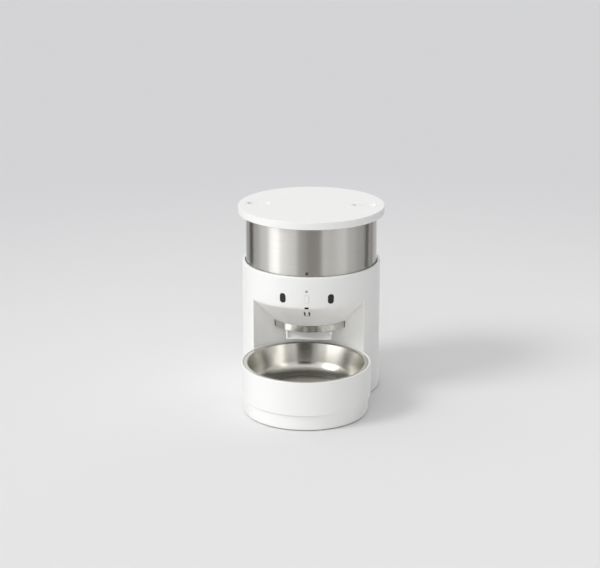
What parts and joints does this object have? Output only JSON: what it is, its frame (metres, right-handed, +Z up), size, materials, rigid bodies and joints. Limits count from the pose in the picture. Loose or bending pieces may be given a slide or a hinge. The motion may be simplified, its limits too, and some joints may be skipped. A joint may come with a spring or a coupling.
{
  "type": "automatic pet feeder",
  "caption": "Automatic pet feeder: a white round body with a steel hopper tube under a push-button lid, a motor-driven portion rotor, a covered chute and a steel bowl in a stand.",
  "frame": {"origin": "on the floor, under the centre of the footprint's box", "axes": "+Z up, -Y out of the front over the bowl, +X to the feeder's left hand when seen from behind and to the right when seen from the front"},
  "size_m": [0.21, 0.3054, 0.2699],
  "materials": {
    "white_shell": "satin moulded ABS",
    "white_panel": "satin moulded ABS",
    "white_lid": "satin moulded ABS",
    "white_stand": "satin moulded ABS",
    "white_button": "satin moulded ABS",
    "brushed_hopper": "brushed stainless sheet",
    "polished_bowl": "polished stainless steel",
    "metal_ring": "turned satin metal",
    "black_window": "gloss black infrared plastic",
    "dark_mark": "printed dot",
    "rubber_pad": "soft silicone rubber",
    "silicone_seal": "translucent silicone",
    "clear_diffuser": "frosted polycarbonate",
    "grey_frame": "moulded ABS",
    "green_board": "green solder mask",
    "black_component": "moulded component bodies",
    "brass_bush": "sintered bearing bronze",
    "nylon_gear": "natural acetal",
    "zinc_screw": "zinc plated steel",
    "steel_shaft": "ground steel",
    "motor_can": "plated steel can",
    "cell_wrap": "printed film sleeve",
    "nickel_contact": "nickel plated spring steel",
    "grey_rotor": "food grade polypropylene",
    "lid_inner": "food grade polypropylene",
    "spring_steel": "spring steel wire",
    "desiccant_fabric": "non-woven sachet"
  },
  "bodies": {
    "housing": {"housing_shell": "white_shell", "alcove_panel": "white_panel", "feed_chute": "white_panel", "base_plate": "white_shell", "base_pads": "rubber_pad", "base_screws": "zinc_screw", "deck": "grey_frame", "deck_screws": "zinc_screw", "gear_case": "grey_frame", "drive_bush": "brass_bush", "idler_pin": "steel_shaft", "motor": "motor_can", "battery_tray": "grey_frame", "battery_cells": "cell_wrap", "battery_contacts": "nickel_contact", "power_socket": "black_component", "main_board": "green_board", "board_parts": "black_component", "board_standoffs": "grey_frame", "sensor_window_left": "black_window", "sensor_window_right": "black_window", "sensor_modules": "black_component", "front_board": "green_board", "board_screws": "zinc_screw", "feed_switch": "black_component", "led_pipe": "clear_diffuser", "infrared_window": "black_window", "buzzer": "black_component"},
    "drive": {"drive_gear": "nylon_gear", "drive_shaft": "steel_shaft"},
    "idler": {"idler_gear": "nylon_gear"},
    "pinion": {"motor_pinion": "nylon_gear"},
    "battery_door": {"battery_door": "white_shell"},
    "feed_button": {"feed_button": "white_button"},
    "hopper": {"hopper_tube": "brushed_hopper", "hopper_dot": "dark_mark", "hopper_base": "grey_rotor", "outlet_ring": "metal_ring", "portion_shield": "grey_rotor"},
    "rotor": {"rotor": "grey_rotor", "stirrer": "grey_rotor", "stirrer_screw": "zinc_screw"},
    "lid": {"lid_cover": "white_lid", "lid_liner": "lid_inner", "lid_gasket": "silicone_seal", "lid_screws": "zinc_screw", "desiccant_box": "lid_inner"},
    "desiccant_cap": {"desiccant_cap": "lid_inner", "desiccant_pack": "desiccant_fabric"},
    "lid_button_left": {"lid_button_left": "white_lid", "lid_spring_left": "spring_steel"},
    "lid_button_right": {"lid_button_right": "white_lid", "lid_spring_right": "spring_steel"},
    "lid_catch_left": {"lid_catch_left": "lid_inner"},
    "lid_catch_right": {"lid_catch_right": "lid_inner"},
    "stand": {"stand_ring": "white_stand", "stand_foot": "white_stand", "stand_screws": "zinc_screw", "stand_pads": "rubber_pad"},
    "bowl": {"steel_bowl": "polished_bowl"}
  },
  "joints": [
    {"name": "stand_slide", "type": "slide", "parent": "housing", "child": "stand", "axis": [0, -1, 0], "range_m": [0, 0.12]},
    {"name": "bowl_lift", "type": "slide", "parent": "stand", "child": "bowl", "axis": [0, 0, 1], "range_m": [0, 0.01]},
    {"name": "hopper_lift", "type": "slide", "parent": "housing", "child": "hopper", "axis": [0, 0, 1], "range_m": [0, 0.11]},
    {"name": "lid_lift", "type": "slide", "parent": "hopper", "child": "lid", "axis": [0, 0, 1], "range_m": [0, 0.05]},
    {"name": "rotor_spin", "type": "hinge", "parent": "hopper", "child": "rotor", "pos_m": [0, 0.0477, 0.1], "axis": [0, 0, 1], "continuous": true},
    {"name": "drive_spin", "type": "hinge", "parent": "housing", "child": "drive", "pos_m": [0, 0.0477, 0.1], "axis": [0, 0, 1], "continuous": true},
    {"name": "idler_spin", "type": "hinge", "parent": "housing", "child": "idler", "pos_m": [0.016, 0.0477, 0.1], "axis": [0, 0, 1], "continuous": true},
    {"name": "pinion_spin", "type": "hinge", "parent": "housing", "child": "pinion", "pos_m": [0.032, 0.0477, 0.1], "axis": [0, 0, 1], "continuous": true},
    {"name": "feed_button_press", "type": "slide", "parent": "housing", "child": "feed_button", "axis": [0, 1, 0], "range_m": [0, 0.001], "stiffness_N_per_m": 2500, "springref_m": -0.0006},
    {"name": "battery_door_pull", "type": "slide", "parent": "housing", "child": "battery_door", "axis": [0, 1, 0], "range_m": [0, 0.03]},
    {"name": "desiccant_cap_turn", "type": "hinge", "parent": "lid", "child": "desiccant_cap", "pos_m": [0, 0.0477, 0.1], "axis": [0, 0, 1], "range_deg": [0, 30]},
    {"name": "lid_button_left_press", "type": "slide", "parent": "lid", "child": "lid_button_left", "axis": [0, 0, -1], "range_m": [0, 0.0025], "stiffness_N_per_m": 1200, "springref_m": -0.0015, "deforming": ["lid_spring_left"]},
    {"name": "lid_catch_left_slide", "type": "slide", "parent": "lid", "child": "lid_catch_left", "axis": [1, 0, 0], "range_m": [0, 0.0025]},
    {"name": "lid_button_right_press", "type": "slide", "parent": "lid", "child": "lid_button_right", "axis": [0, 0, -1], "range_m": [0, 0.0025], "stiffness_N_per_m": 1200, "springref_m": -0.0015, "deforming": ["lid_spring_right"]},
    {"name": "lid_catch_right_slide", "type": "slide", "parent": "lid", "child": "lid_catch_right", "axis": [-1, 0, 0], "range_m": [0, 0.0025]}
  ],
  "couplings": [
    {"joint": "drive_spin", "follows": "rotor_spin", "ratio": 1},
    {"joint": "idler_spin", "follows": "rotor_spin", "ratio": -3},
    {"joint": "pinion_spin", "follows": "rotor_spin", "ratio": 9},
    {"joint": "lid_catch_left_slide", "follows": "lid_button_left_press", "ratio": 1},
    {"joint": "lid_catch_right_slide", "follows": "lid_button_right_press", "ratio": 1}
  ]
}
